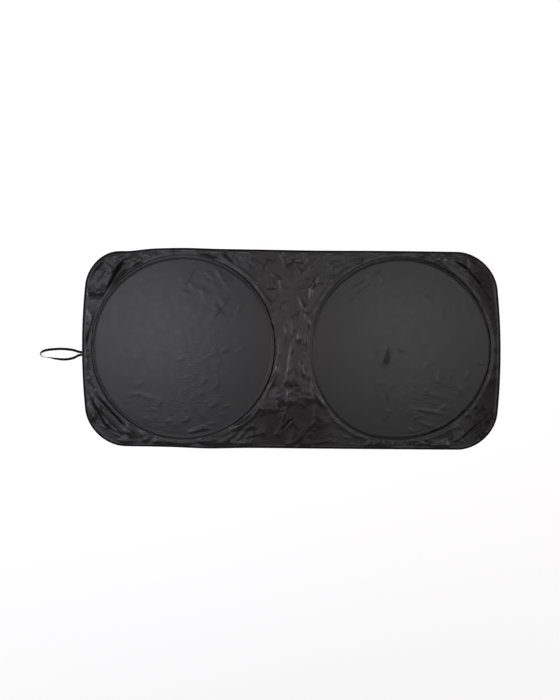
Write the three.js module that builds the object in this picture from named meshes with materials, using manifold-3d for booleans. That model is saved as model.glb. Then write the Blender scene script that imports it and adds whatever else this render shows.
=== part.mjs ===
// Folding windscreen sunshade: one dark cloth panel that two sprung steel hoops hold open.
// Millimetres, +Z up. The panel lies spread out with its dark face up and its long side along X.
// The origin is under the middle of the panel, on the surface that it lies on.
// Each hoop is a thin strip that stands on its edge in a casing tape sewn to the cloth, so the
// shade can be twisted into a small disc. A folded tape binds the edge, and a flat elastic loop
// at the left end holds the folded shade together.

import * as THREE from 'three';
import { mergeVertices } from 'three/addons/utils/BufferGeometryUtils.js';
import Module from 'manifold-3d';

const wasm = await Module();
wasm.setup();

const degree = Math.PI / 180;

// Room kept between neighbouring pieces.
const gap = 0.3;

// Hoops: a flat strip, sprung into a ring, whose ends butt inside a crimped sleeve.
const leftHoopRadius = 313;
const rightHoopRadius = 309;
const stripThickness = 1;
const stripHeight = 3.5;
const endGap = 0.5;
const sleeveLength = 30;
const sleeveWall = 0.4;

// Where the hoops differ from true circles: a slight oval, and a place that springs outwards.
const leftOval = 0.8;
const rightBulge = 12;
const bulgeAngle = 238 * degree;
const bulgeSpread = 24 * degree;
const leftJointAngle = 82 * degree;
const rightJointAngle = 88 * degree;

// Casings: a tape on the cloth, domed over the strip, with a flat flange to sew on each side.
const casingWidth = 18;
const casingThickness = 0.5;
const domeSlope = 2.4;
const domeShoulder = 0.6;

// Panel: the cloth between and around the hoops, with the room that is left at each side.
const clothThickness = 0.5;
const hoopSpacing = 113;
const endMargin = 28.7;
const sideMargin = 22.3;
const leftHoopRise = 3.5;
const rightHoopRise = 8.5;
const cornerRadius = 129;

// The laid cloth is not a true rectangle: its short ends draw in towards the corners, its long
// sides bow a little, and the whole is pulled slightly askew.
const endBow = 27.6;
const sideBow = 2;
const skew = 7.8;

// Places where a long side lies further in than that, or further out where depth is negative.
// The side is 1 for the upper one and -1 for the lower one.
const dents = [
  { place: -592, side: 1, depth: 9.5, spread: 62 },
  { place: -385, side: 1, depth: -2.8, spread: 90 },
  { place: 90, side: 1, depth: 2, spread: 190 },
  { place: -300, side: -1, depth: -3.8, spread: 100 },
];

// Binding: a tape folded over the cloth's edge.
const bindingWidth = 7;
const bindingThickness = 0.4;

// Elastic loop: a flat band whose two ends are sewn in under the binding.
const loopWidth = 7;
const loopThickness = 1;

// Slack cloth: how high it lies outside the hoops, and how soon it comes down at a seam.
const slackHeight = 1.6;
const slackFade = 22;
const seamMargin = 2;

// Points of a mesh that lie closer than this are one point.
const weldDistance = 1e-4;

// How finely curves are divided.
const hoopSteps = 70;
const longSideSteps = 38;
const shortSideSteps = 12;
const cornerSteps = 8;
const middleSteps = 22;
const slackSteps = 7;
const loopSteps = 36;

// Sizes that follow from those above.
const casingHalf = casingWidth / 2;
const halfLength = leftHoopRadius + rightHoopRadius + casingWidth + hoopSpacing / 2 + endMargin;
const halfWidth = Math.max(leftHoopRadius, rightHoopRadius) + casingHalf + sideMargin;
const seatHeight = clothThickness + gap;
const sleeveHeight = stripHeight + 2 * (gap + sleeveWall);
const sleeveThickness = stripThickness + 2 * (gap + sleeveWall);
const stripBottom = seatHeight + sleeveWall + gap;
const tunnelTop = seatHeight + sleeveHeight + gap;
const tunnelHalf = sleeveThickness / 2 + gap * 2;
const edgeHeight = bindingThickness + gap;

const leftHoop = {
  x: -halfLength + endMargin + casingHalf + leftHoopRadius,
  rise: leftHoopRise,
  radius: leftHoopRadius,
  oval: leftOval,
  bulge: 0,
  joint: leftJointAngle,
};
const rightHoop = {
  x: halfLength - endMargin - casingHalf - rightHoopRadius,
  rise: rightHoopRise,
  radius: rightHoopRadius,
  oval: 0,
  bulge: rightBulge,
  joint: rightJointAngle,
};
const hoops = [leftHoop, rightHoop];
for (const hoop of hoops) {
  hoop.y = hoop.rise - (skew * hoop.x) / halfLength;
}

// Large folds of the slack cloth. Each route starts from a corner of the panel or from its
// middle. A positive height is a ridge, and a negative one is a valley between ridges.
const topLeft = [-halfLength, halfWidth];
const topRight = [halfLength, halfWidth];
const bottomLeft = [-halfLength, -halfWidth];
const bottomRight = [halfLength, -halfWidth];
const middle = [0, 0];
const folds = [
  { from: topLeft, route: [[160, -40], [112, -92], [92, -160]], half: 16, height: 3.4 },
  { from: topLeft, route: [[138, -48], [93, -129], [78, -172]], half: 13, height: -2.2 },
  { from: topLeft, route: [[90, -62], [52, -100]], half: 24, height: 2.2 },
  { from: topLeft, route: [[26, -140], [78, -142]], half: 11, height: 2.4 },
  { from: bottomLeft, route: [[30, 175], [66, 112], [104, 60], [128, 42]], half: 12, height: -2.4 },
  { from: bottomLeft, route: [[50, 160], [96, 101], [140, 58]], half: 14, height: 3.6 },
  { from: bottomLeft, route: [[52, 196], [104, 126], [160, 66]], half: 11, height: -2 },
  { from: topRight, route: [[-155, -36], [-112, -68], [-48, -142]], half: 12, height: -2.4 },
  { from: topRight, route: [[-118, -46], [-66, -92], [-36, -140]], half: 16, height: 3 },
  { from: bottomRight, route: [[-64, 140], [-70, 76]], half: 14, height: 3.4 },
  { from: bottomRight, route: [[-128, 44], [-92, 70], [-46, 152]], half: 12, height: -2 },
  { from: middle, route: [[-118, 222], [-84, 160], [-58, 92]], half: 15, height: 3.8 },
  { from: middle, route: [[-46, -66], [-78, -142], [-128, -220], [-196, -266]], half: 19, height: 4.2 },
  { from: middle, route: [[10, 30], [-4, -24], [-12, -90]], half: 14, height: 4.4 },
  { from: middle, route: [[-6, -138], [-14, -200], [-30, -242]], half: 13, height: 3.2 },
  { from: middle, route: [[26, 130], [44, 190], [24, 250]], half: 20, height: 2.8 },
  { from: middle, route: [[88, -104], [104, -190]], half: 20, height: 3.6 },
  { from: middle, route: [[86, -250], [46, -286], [8, -326]], half: 14, height: 3.4 },
  { from: middle, route: [[14, -228], [-42, -286]], half: 12, height: -2 },
];

// Route of the elastic loop, measured from its upper exit at the panel's left edge: straight
// out of the binding, round a flat bend, and back into the binding a little lower. The band is
// broad side down at first, and stands on its edge round the bend, where its middle lies higher.
const upperExit = -10.7;
const exitSpacing = 9.7;
const loopRoute = [
  [-5, 0, 0.95],
  [-15, 2.4, 0.8],
  [-31, 7.2, 0.8],
  [-53, 10.2, 0.8],
  [-76, 11.1, 0.8],
  [-96, 10.2, 1],
  [-113, 8.6, 1.5],
  [-126, 6.2, 2.3],
  [-136, 2.4, 3.1],
  [-142, -2.6, 3.6],
  [-143.5, -7.4, 3.8],
  [-141.5, -12, 3.9],
  [-136, -15.2, 3.9],
  [-125, -17.4, 3.9],
  [-111, -19.2, 3.7],
  [-95, -22.2, 2.8],
  [-74, -24.8, 1.6],
  [-54, -25, 0.9],
  [-36, -22.2, 0.8],
  [-24, -17.8, 0.8],
  [-14, -12.4, 0.8],
  [-5, -9.7, 0.95],
];

// Radius of a hoop's middle line at an angle round its centre.
function hoopRadius(hoop, angle) {
  const turn = Math.atan2(Math.sin(angle - bulgeAngle), Math.cos(angle - bulgeAngle));
  const away = turn / bulgeSpread;
  return hoop.radius + hoop.oval * Math.cos(2 * angle) + hoop.bulge * Math.exp(-away * away);
}

// A station on a closed or open line: a point, and the direction that points outwards from it.
function station(x, y, alongX, alongY) {
  const size = Math.hypot(alongX, alongY);
  return { x, y, nx: alongY / size, ny: -alongX / size };
}

function hoopStation(hoop, angle) {
  const small = 0.001;
  const at = (a) => [
    hoop.x + hoopRadius(hoop, a) * Math.cos(a),
    hoop.y + hoopRadius(hoop, a) * Math.sin(a),
  ];
  const [x, y] = at(angle);
  const before = at(angle - small);
  const after = at(angle + small);
  return station(x, y, after[0] - before[0], after[1] - before[1]);
}

// Angles round a hoop, measured from its joint. The sleeve's two ends are always among them.
function hoopAngles(hoop) {
  const sleeveHalf = sleeveLength / 2 / hoop.radius;
  const angles = [];
  for (let i = 0; i <= hoopSteps; i += 1) {
    angles.push(hoop.joint + sleeveHalf + ((2 * Math.PI - 2 * sleeveHalf) * i) / hoopSteps);
  }
  return angles;
}

// The panel's outline, counter-clockwise from the middle of its upper long side.
function straightOutline() {
  const straightX = halfLength - cornerRadius;
  const straightY = halfWidth - cornerRadius;
  const points = [];
  const addSide = (ax, ay, bx, by, steps) => {
    for (let i = 0; i < steps; i += 1) {
      points.push([ax + ((bx - ax) * i) / steps, ay + ((by - ay) * i) / steps]);
    }
  };
  const addCorner = (cx, cy, start) => {
    for (let i = 0; i < cornerSteps; i += 1) {
      const angle = start + (Math.PI / 2) * (i / cornerSteps);
      points.push([cx + cornerRadius * Math.cos(angle), cy + cornerRadius * Math.sin(angle)]);
    }
  };
  addSide(0, halfWidth, -straightX, halfWidth, longSideSteps / 2);
  addCorner(-straightX, straightY, Math.PI / 2);
  addSide(-halfLength, straightY, -halfLength, -straightY, shortSideSteps);
  addCorner(-straightX, -straightY, Math.PI);
  addSide(-straightX, -halfWidth, straightX, -halfWidth, longSideSteps);
  addCorner(straightX, -straightY, -Math.PI / 2);
  addSide(halfLength, -straightY, halfLength, straightY, shortSideSteps);
  addCorner(straightX, straightY, 0);
  addSide(straightX, halfWidth, 0, halfWidth, longSideSteps / 2);
  return points;
}

// How far the cloth is moved down by the places where its long sides lie in or out.
function dentAt(u, v) {
  let move = 0;
  for (const { place, side, depth, spread } of dents) {
    const share = Math.max((side * v) / halfWidth, 0) ** 3;
    move += side * depth * share * Math.exp(-(((u - place) / spread) ** 2));
  }
  return move;
}

// Moves a point of the straight-sided panel to where the laid cloth has it.
function lay([u, v]) {
  const level = v * (1 - (sideBow / halfWidth) * (u / halfLength) ** 2) - dentAt(u, v);
  const x = u * (1 - (endBow / halfLength) * (level / halfWidth) ** 2);
  return [x, level - (skew * x) / halfLength];
}

// How far a point of the laid cloth lies inside the panel's outline.
function insideEdge(x, y) {
  const level = y + (skew * x) / halfLength;
  const u = x / (1 - (endBow / halfLength) * (level / halfWidth) ** 2);
  const undented = level + dentAt(u, level + dentAt(u, level));
  const v = undented / (1 - (sideBow / halfWidth) * (x / halfLength) ** 2);
  const overX = Math.abs(u) - (halfLength - cornerRadius);
  const overY = Math.abs(v) - (halfWidth - cornerRadius);
  const outside = Math.hypot(Math.max(overX, 0), Math.max(overY, 0));
  return cornerRadius - outside - Math.min(Math.max(overX, overY), 0);
}

function outlineStations() {
  const points = straightOutline().map(lay);
  const count = points.length;
  return points.map(([x, y], i) => {
    const before = points[(i + count - 1) % count];
    const after = points[(i + 1) % count];
    return station(x, y, after[0] - before[0], after[1] - before[1]);
  });
}

const outline = outlineStations();

function offset(at, distance) {
  return [at.x + at.nx * distance, at.y + at.ny * distance];
}

function smooth(share) {
  const t = Math.min(Math.max(share, 0), 1);
  return t * t * (3 - 2 * t);
}

// The cloth lies flat from a hoop's middle to just outside its casing.
function flatRadius(hoop, angle) {
  return hoopRadius(hoop, angle) + casingHalf + seamMargin;
}

function outsideHoop(hoop, x, y) {
  const angle = Math.atan2(y - hoop.y, x - hoop.x);
  return Math.hypot(x - hoop.x, y - hoop.y) - flatRadius(hoop, angle);
}

function distanceToRoute(x, y, from, route) {
  let nearest = Infinity;
  for (let i = 1; i < route.length; i += 1) {
    const ax = from[0] + route[i - 1][0];
    const ay = from[1] + route[i - 1][1];
    const dx = route[i][0] - route[i - 1][0];
    const dy = route[i][1] - route[i - 1][1];
    const along = ((x - ax) * dx + (y - ay) * dy) / (dx * dx + dy * dy);
    const t = Math.min(Math.max(along, 0), 1);
    nearest = Math.min(nearest, Math.hypot(x - ax - dx * t, y - ay - dy * t));
  }
  return nearest;
}

function foldHeight(x, y) {
  let height = slackHeight;
  for (const { from, route, half, height: rise } of folds) {
    height += rise * (1 - smooth(distanceToRoute(x, y, from, route) / (2 * half)));
  }
  return Math.max(height, 0);
}

// Height of the cloth's underside: flat in the hoops, folded between the seams, and lifted at
// the edge by the thickness of the binding under it.
function clothHeight(x, y) {
  const fromHoop = Math.max(Math.min(...hoops.map((hoop) => outsideHoop(hoop, x, y))), 0);
  const fromEdge = Math.max(insideEdge(x, y) - bindingWidth - seamMargin, 0);
  if (fromHoop === 0) return 0;
  const rim = edgeHeight * (fromHoop / (fromHoop + fromEdge)) ** 2;
  const free = smooth(fromHoop / slackFade) * smooth(fromEdge / slackFade);
  return rim + free * foldHeight(x, y);
}

function meshGeometry(positions) {
  const geometry = new THREE.BufferGeometry();
  geometry.setAttribute('position', new THREE.Float32BufferAttribute(positions, 3));
  const merged = mergeVertices(geometry, weldDistance);
  merged.computeVertexNormals();
  return merged;
}

// A closed ring: the same section, a closed list of [outwards, height] points that runs
// counter-clockwise, at every station of a closed line.
function ringGeometry(stations, section) {
  const positions = [];
  const corner = (at, [out, z]) => [...offset(at, out), z];
  stations.forEach((at, i) => {
    const next = stations[(i + 1) % stations.length];
    section.forEach((point, j) => {
      const other = section[(j + 1) % section.length];
      const a = corner(at, point);
      const b = corner(next, point);
      const c = corner(next, other);
      const d = corner(at, other);
      positions.push(...a, ...b, ...c, ...a, ...c, ...d);
    });
  });
  return meshGeometry(positions);
}

// A bar of rectangular section along an open line, closed at both ends.
function barGeometry(stations, thickness, bottom, top) {
  const section = [
    [-thickness / 2, bottom],
    [thickness / 2, bottom],
    [thickness / 2, top],
    [-thickness / 2, top],
  ];
  const positions = [];
  const corner = (at, [out, z]) => [...offset(at, out), z];
  for (let i = 1; i < stations.length; i += 1) {
    section.forEach((point, j) => {
      const other = section[(j + 1) % section.length];
      const a = corner(stations[i - 1], point);
      const b = corner(stations[i], point);
      const c = corner(stations[i], other);
      const d = corner(stations[i - 1], other);
      positions.push(...a, ...b, ...c, ...a, ...c, ...d);
    });
  }
  const [a, b, c, d] = section.map((point) => corner(stations[0], point));
  const [e, f, g, h] = section.map((point) => corner(stations[stations.length - 1], point));
  positions.push(...a, ...b, ...c, ...a, ...c, ...d);
  positions.push(...e, ...g, ...f, ...e, ...h, ...g);
  return meshGeometry(positions);
}

function toManifold(geometry) {
  const plain = geometry.clone();
  plain.deleteAttribute('normal');
  const merged = mergeVertices(plain, weldDistance);
  return new wasm.Manifold(new wasm.Mesh({
    numProp: 3,
    vertProperties: new Float32Array(merged.attributes.position.array),
    triVerts: new Uint32Array(merged.index.array),
  }));
}

function fromManifold(solid) {
  const mesh = solid.getMesh();
  const geometry = new THREE.BufferGeometry();
  geometry.setAttribute('position', new THREE.BufferAttribute(mesh.vertProperties, 3));
  geometry.setIndex(new THREE.BufferAttribute(mesh.triVerts, 1));
  geometry.computeVertexNormals();
  return geometry;
}

// Panel: rays run from each hoop to the binding's inner line and to the line midway between
// the hoops, so the seams are rows of the mesh. Both faces of the cloth use the same rows.
function panelGeometry() {
  const edge = outline.map((at) => offset(at, -bindingThickness - gap));
  const inner = outline.map((at) => offset(at, -bindingWidth - seamMargin));
  const half = outline.length / 2;
  const top = inner[0];
  const bottom = inner[half];
  const middleLine = [];
  for (let i = 1; i < middleSteps; i += 1) {
    const t = i / middleSteps;
    middleLine.push([bottom[0] + (top[0] - bottom[0]) * t, bottom[1] + (top[1] - bottom[1]) * t]);
  }
  const leftBorder = [...inner.slice(0, half + 1), ...middleLine];
  const rightBorder = [...inner.slice(half), inner[0], ...[...middleLine].reverse()];

  const positions = [];
  const under = ([x, y], height) => [x, y, height];
  const over = ([x, y], height) => [x, y, height + clothThickness];
  const addFacet = (points, heights) => {
    const [a, b, c] = points.map((point, i) => over(point, heights[i]));
    const [d, e, f] = points.map((point, i) => under(point, heights[i]));
    positions.push(...a, ...b, ...c, ...d, ...f, ...e);
  };
  const addQuad = (a, b, c, d, heights) => {
    addFacet([a, b, c], [heights[0], heights[1], heights[2]]);
    addFacet([a, c, d], [heights[0], heights[2], heights[3]]);
  };

  [[leftHoop, leftBorder], [rightHoop, rightBorder]].forEach(([hoop, border]) => {
    const rays = border.map((end) => {
      const angle = Math.atan2(end[1] - hoop.y, end[0] - hoop.x);
      const radius = flatRadius(hoop, angle);
      const start = [hoop.x + radius * Math.cos(angle), hoop.y + radius * Math.sin(angle)];
      const ray = [];
      for (let k = 0; k <= slackSteps; k += 1) {
        const t = k / slackSteps;
        ray.push([start[0] + (end[0] - start[0]) * t, start[1] + (end[1] - start[1]) * t]);
      }
      return ray;
    });
    const lift = (k, [x, y]) => (k === 0 ? 0 : clothHeight(x, y));
    rays.forEach((ray, i) => {
      const next = rays[(i + 1) % rays.length];
      addFacet([[hoop.x, hoop.y], ray[0], next[0]], [0, 0, 0]);
      for (let k = 0; k < slackSteps; k += 1) {
        const corners = [ray[k], ray[k + 1], next[k + 1], next[k]];
        const heights = [
          lift(k, ray[k]),
          lift(k + 1, ray[k + 1]),
          lift(k + 1, next[k + 1]),
          lift(k, next[k]),
        ];
        addQuad(...corners, heights);
      }
    });
  });

  outline.forEach((at, i) => {
    const j = (i + 1) % outline.length;
    const heights = [clothHeight(...inner[i]), edgeHeight, edgeHeight, clothHeight(...inner[j])];
    addQuad(inner[i], edge[i], edge[j], inner[j], heights);
    const a = under(edge[i], edgeHeight);
    const b = under(edge[j], edgeHeight);
    const c = over(edge[j], edgeHeight);
    const d = over(edge[i], edgeHeight);
    positions.push(...a, ...b, ...c, ...a, ...c, ...d);
  });
  return meshGeometry(positions);
}

// Binding: a tape folded round the edge, with one leg under the cloth and one on it.
function bindingGeometry() {
  const clothTop = edgeHeight + clothThickness;
  const top = clothTop + gap + bindingThickness;
  const fold = bindingThickness / 2;
  return ringGeometry(outline, [
    [-bindingWidth, 0],
    [-fold, 0],
    [0, fold],
    [0, top - fold],
    [-fold, top],
    [-bindingWidth, top],
    [-bindingWidth, clothTop + gap],
    [-bindingThickness, clothTop + gap],
    [-bindingThickness, bindingThickness],
    [-bindingWidth, bindingThickness],
  ]);
}

// Casing: the tape lies on the cloth at both flanges and is domed over the sleeve and strip.
function casingGeometry(hoop) {
  const stations = [hoopStation(hoop, hoop.joint)];
  stations.push(...hoopAngles(hoop).map((angle) => hoopStation(hoop, angle)));
  const top = tunnelTop + casingThickness;
  const flange = seatHeight + casingThickness;
  const foot = tunnelHalf + domeSlope;
  return ringGeometry(stations, [
    [-casingHalf, seatHeight],
    [-foot, seatHeight],
    [-tunnelHalf, tunnelTop],
    [tunnelHalf, tunnelTop],
    [foot, seatHeight],
    [casingHalf, seatHeight],
    [casingHalf, flange],
    [foot + casingThickness, flange],
    [tunnelHalf + casingThickness, tunnelTop],
    [tunnelHalf - domeShoulder, top],
    [-tunnelHalf + domeShoulder, top],
    [-tunnelHalf - casingThickness, tunnelTop],
    [-foot - casingThickness, flange],
    [-casingHalf, flange],
  ]);
}

// Strip: it runs once round the hoop, and its two ends almost meet at the joint.
function stripGeometry(hoop) {
  const backOff = endGap / 2 / hoop.radius;
  const stations = [
    hoopStation(hoop, hoop.joint + backOff),
    ...hoopAngles(hoop).map((angle) => hoopStation(hoop, angle)),
    hoopStation(hoop, hoop.joint - backOff),
  ];
  return barGeometry(stations, stripThickness, stripBottom, stripBottom + stripHeight);
}

// Sleeve: a flat tube over both ends of the strip.
function sleeveGeometry(hoop) {
  const half = sleeveLength / 2 / hoop.radius;
  const reach = 1.2;
  const stations = (size) => [-size, 0, size].map((turn) => hoopStation(hoop, hoop.joint + turn));
  const outer = barGeometry(stations(half), sleeveThickness, seatHeight, seatHeight + sleeveHeight);
  const boreBottom = stripBottom - gap;
  const boreTop = stripBottom + stripHeight + gap;
  const bore = barGeometry(stations(half * reach), stripThickness + 2 * gap, boreBottom, boreTop);
  return fromManifold(toManifold(outer).subtract(toManifold(bore)));
}

// Loop: a flat band along its route. Its ends stop just short of the binding's outer face.
function loopGeometry() {
  const level = upperExit - skew;
  const endX = -halfLength * (1 - (endBow / halfLength) * (level / halfWidth) ** 2) - gap;
  const exitHeight = edgeHeight + clothThickness / 2;
  const route = [[0, 0, exitHeight], ...loopRoute, [0, -exitSpacing, exitHeight]];
  const points = route.map(([x, y, z]) => new THREE.Vector3(endX + x, upperExit + y, z));
  const curve = new THREE.CatmullRomCurve3(points, false, 'centripetal');
  const thin = loopThickness / 2;
  const wide = loopWidth / 2;
  const round = thin / 2;
  const section = new THREE.Shape();
  section.moveTo(-thin, -wide + round);
  section.lineTo(-round, -wide);
  section.lineTo(round, -wide);
  section.lineTo(thin, -wide + round);
  section.lineTo(thin, wide - round);
  section.lineTo(round, wide);
  section.lineTo(-round, wide);
  section.lineTo(-thin, wide - round);
  section.closePath();
  return new THREE.ExtrudeGeometry(section, { steps: loopSteps, extrudePath: curve });
}

function finish(color, roughness, metalness) {
  return new THREE.MeshStandardMaterial({ color, roughness, metalness });
}

function part(name, geometry, material) {
  const mesh = new THREE.Mesh(geometry, material);
  mesh.name = name;
  return mesh;
}

const shade = new THREE.Group();
shade.add(part('shade_panel', panelGeometry(), finish(0x3b3a3c, 0.5, 0)));
shade.add(part('edge_binding', bindingGeometry(), finish(0x121214, 0.85, 0)));
for (const [side, hoop] of [['left', leftHoop], ['right', rightHoop]]) {
  shade.add(part(`${side}_hoop_casing`, casingGeometry(hoop), finish(0x262628, 0.8, 0)));
  shade.add(part(`${side}_hoop`, stripGeometry(hoop), finish(0x8f9296, 0.35, 0.9)));
  shade.add(part(`${side}_hoop_sleeve`, sleeveGeometry(hoop), finish(0x6f7276, 0.5, 0.8)));
}
shade.add(part('holding_loop', loopGeometry(), finish(0x141415, 0.9, 0)));

export default shade;
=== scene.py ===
import math
import random

import bpy
import numpy as np
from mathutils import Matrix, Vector, geometry, noise


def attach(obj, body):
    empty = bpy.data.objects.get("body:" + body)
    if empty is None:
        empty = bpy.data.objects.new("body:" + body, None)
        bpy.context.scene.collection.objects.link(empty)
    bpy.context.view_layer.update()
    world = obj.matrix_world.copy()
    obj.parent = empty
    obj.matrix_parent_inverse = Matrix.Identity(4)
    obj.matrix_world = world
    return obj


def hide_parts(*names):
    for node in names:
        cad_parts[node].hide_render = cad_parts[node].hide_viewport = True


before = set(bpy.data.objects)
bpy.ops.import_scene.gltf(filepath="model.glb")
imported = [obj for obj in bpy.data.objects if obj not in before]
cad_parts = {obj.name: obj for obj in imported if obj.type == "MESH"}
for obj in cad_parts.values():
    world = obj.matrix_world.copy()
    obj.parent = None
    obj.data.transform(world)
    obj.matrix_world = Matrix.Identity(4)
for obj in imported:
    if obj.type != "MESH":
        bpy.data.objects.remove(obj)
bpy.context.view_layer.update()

mm = 0.001
degree = math.pi / 180

# Sizes that the solids have too.
gap = 0.3 * mm
left_hoop_radius = 313 * mm
right_hoop_radius = 309 * mm
left_oval = 0.8 * mm
right_bulge = 12 * mm
bulge_angle = 238 * degree
bulge_spread = 24 * degree
left_joint_angle = 82 * degree
right_joint_angle = 88 * degree
strip_height = 3.5 * mm
strip_thickness = 1 * mm
sleeve_wall = 0.4 * mm
casing_width = 18 * mm
hoop_spacing = 113 * mm
end_margin = 28.7 * mm
side_margin = 22.3 * mm
left_hoop_rise = 3.5 * mm
right_hoop_rise = 8.5 * mm
corner_radius = 129 * mm
end_bow = 27.6 * mm
side_bow = 2 * mm
skew = 7.8 * mm
binding_width = 7 * mm
loop_thickness = 1 * mm
seat_height = 0.8 * mm
edge_height = 0.7 * mm

# Places where a long side lies in by a depth, or out where it is negative: the place along the
# side, the side, which is 1 for the upper one, the depth, and how far it spreads.
dents = [
    (-592 * mm, 1, 9.5 * mm, 62 * mm),
    (-385 * mm, 1, -2.8 * mm, 90 * mm),
    (90 * mm, 1, 2 * mm, 190 * mm),
    (-300 * mm, -1, -3.8 * mm, 100 * mm),
]

# Sizes that follow from those above.
casing_half = casing_width / 2
half_length = left_hoop_radius + right_hoop_radius + casing_width + hoop_spacing / 2 + end_margin
half_width = max(left_hoop_radius, right_hoop_radius) + casing_half + side_margin
sleeve_height = strip_height + 2 * (gap + sleeve_wall)
tunnel_half = strip_thickness / 2 + sleeve_wall + 3 * gap
tunnel_top = seat_height + sleeve_height + gap

# Sizes of the dressed cloth and tapes, which are thinner than their solids.
floor_clearance = 0.1 * mm
cloth_thickness = 0.4 * mm
tape_thickness = 0.45 * mm
touch = 0.05 * mm

# Where the binding's seam runs, outwards from the outline.
binding_seam = -binding_width + 1.6 * mm

# The photograph's frame, in pixels, and where the middle of the shade is in it.
photo_width = 560
photo_height = 700
shade_middle_x = 291.3
shade_middle_y = 349.0
pixel_size = 3.465 * mm

# How finely the cloth is divided.
columns = 312
rows = 150

random_numbers = random.Random(11)


class Line:
    """A closed line in plan, measured by its length. It runs counter-clockwise."""

    def __init__(self, x, y):
        self.x = np.append(x, x[0])
        self.y = np.append(y, y[0])
        steps = np.hypot(np.diff(self.x), np.diff(self.y))
        self.reach = np.concatenate([[0], np.cumsum(steps)])
        self.length = self.reach[-1]

    def points(self, along):
        along = np.mod(along, self.length)
        return np.interp(along, self.reach, self.x), np.interp(along, self.reach, self.y)

    def out(self, along):
        """The direction that points outwards."""
        step = 2 * mm
        ahead_x, ahead_y = self.points(along + step)
        behind_x, behind_y = self.points(along - step)
        size = np.hypot(ahead_x - behind_x, ahead_y - behind_y)
        return (ahead_y - behind_y) / size, (behind_x - ahead_x) / size

    def offset(self, along, distance):
        x, y = self.points(along)
        out_x, out_y = self.out(along)
        return x + out_x * distance, y + out_y * distance


class Hoop:
    """One sprung hoop: a circle with a slight oval and a place that springs outwards."""

    def __init__(self, side, x, rise, radius, oval, bulge, joint):
        self.side = side
        self.x = x
        self.y = rise - skew * x / half_length
        self.radius = radius
        self.oval = oval
        self.bulge = bulge
        self.joint = joint

    def radius_at(self, angle):
        turn = np.arctan2(np.sin(angle - bulge_angle), np.cos(angle - bulge_angle))
        spring = self.bulge * np.exp(-((turn / bulge_spread) ** 2))
        return self.radius + self.oval * np.cos(2 * angle) + spring

    def outside(self, x, y):
        """How far a point lies outside the hoop's middle line. It is negative inside."""
        angle = np.arctan2(y - self.y, x - self.x)
        return np.hypot(x - self.x, y - self.y) - self.radius_at(angle)

    def line(self):
        """The hoop's middle line, from its joint."""
        steps = 1440
        angle = self.joint + np.linspace(0, 2 * math.pi, steps, endpoint=False)
        radius = self.radius_at(angle)
        return Line(self.x + radius * np.cos(angle), self.y + radius * np.sin(angle))


left_x = -half_length + end_margin + casing_half + left_hoop_radius
right_x = half_length - end_margin - casing_half - right_hoop_radius
left_hoop = Hoop("left", left_x, left_hoop_rise, left_hoop_radius, left_oval, 0, left_joint_angle)
right_hoop = Hoop("right", right_x, right_hoop_rise, right_hoop_radius, 0, right_bulge, right_joint_angle)
hoops = [left_hoop, right_hoop]


def smooth(share):
    share = np.clip(share, 0, 1)
    return share * share * (3 - 2 * share)


def rise_from(start, width, value):
    """0 up to the start, and smoothly up to 1 within the width."""
    return smooth((value - start) / width)


def dent_at(u, v):
    """How far the cloth is moved down by the places where its long sides lie in or out."""
    move = 0
    for place, side, depth, spread in dents:
        share = np.maximum(side * v / half_width, 0) ** 3
        move = move + side * depth * share * np.exp(-(((u - place) / spread) ** 2))
    return move


def lay(u, v):
    """Moves points of the straight-sided panel to where the laid cloth has them."""
    level = v * (1 - side_bow / half_width * (u / half_length) ** 2) - dent_at(u, v)
    x = u * (1 - end_bow / half_length * (level / half_width) ** 2)
    return x, level - skew * x / half_length


def inside_edge(x, y):
    """How far points of the laid cloth lie inside the panel's outline."""
    level = y + skew * x / half_length
    u = x / (1 - end_bow / half_length * (level / half_width) ** 2)
    undented = level + dent_at(u, level + dent_at(u, level))
    v = undented / (1 - side_bow / half_width * (x / half_length) ** 2)
    over_x = np.abs(u) - (half_length - corner_radius)
    over_y = np.abs(v) - (half_width - corner_radius)
    outside = np.hypot(np.maximum(over_x, 0), np.maximum(over_y, 0))
    return corner_radius - outside - np.minimum(np.maximum(over_x, over_y), 0)


def outline():
    """The panel's outline as a closed line that starts at the middle of its upper side."""
    straight_x = half_length - corner_radius
    straight_y = half_width - corner_radius
    side_steps = 160
    corner_steps = 80
    side = np.linspace(0, 1, side_steps, endpoint=False)
    turn = np.linspace(0, math.pi / 2, corner_steps, endpoint=False)
    flat = np.zeros_like(side)
    bend_sine = corner_radius * np.sin(turn)
    bend_cosine = corner_radius * np.cos(turn)
    pieces = [
        (-side * straight_x, flat + half_width),
        (-straight_x - bend_sine, straight_y + bend_cosine),
        (flat - half_length, straight_y * (1 - 2 * side)),
        (-straight_x - bend_cosine, -straight_y - bend_sine),
        (straight_x * (2 * side - 1), flat - half_width),
        (straight_x + bend_sine, -straight_y - bend_cosine),
        (flat + half_length, straight_y * (2 * side - 1)),
        (straight_x + bend_cosine, straight_y + bend_sine),
        (straight_x * (1 - side), flat + half_width),
    ]
    u = np.concatenate([piece[0] for piece in pieces])
    v = np.concatenate([piece[1] for piece in pieces])
    return Line(*lay(u, v))


def link(obj):
    bpy.context.scene.collection.objects.link(obj)
    return obj


def level_square(reach, z):
    """The corners of a square round the middle, at one height."""
    signs = ((-1, -1), (1, -1), (1, 1), (-1, 1))
    return [(x * reach, y * reach, z) for x, y in signs]


def make_mesh(name, points, faces):
    """A new smooth object from its points and faces."""
    mesh = bpy.data.meshes.new(name)
    mesh.from_pydata(np.asarray(points).reshape(-1, 3).tolist(), [], list(map(list, faces)))
    mesh.update()
    mesh.polygons.foreach_set("use_smooth", [True] * len(mesh.polygons))
    return link(bpy.data.objects.new(name, mesh))


def add_value(obj, name, values):
    """Stores a value at each point of a mesh, for its material."""
    attribute = obj.data.attributes.new(name, "FLOAT", "POINT")
    attribute.data.foreach_set("value", np.asarray(values).ravel().astype(np.float32))


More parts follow.
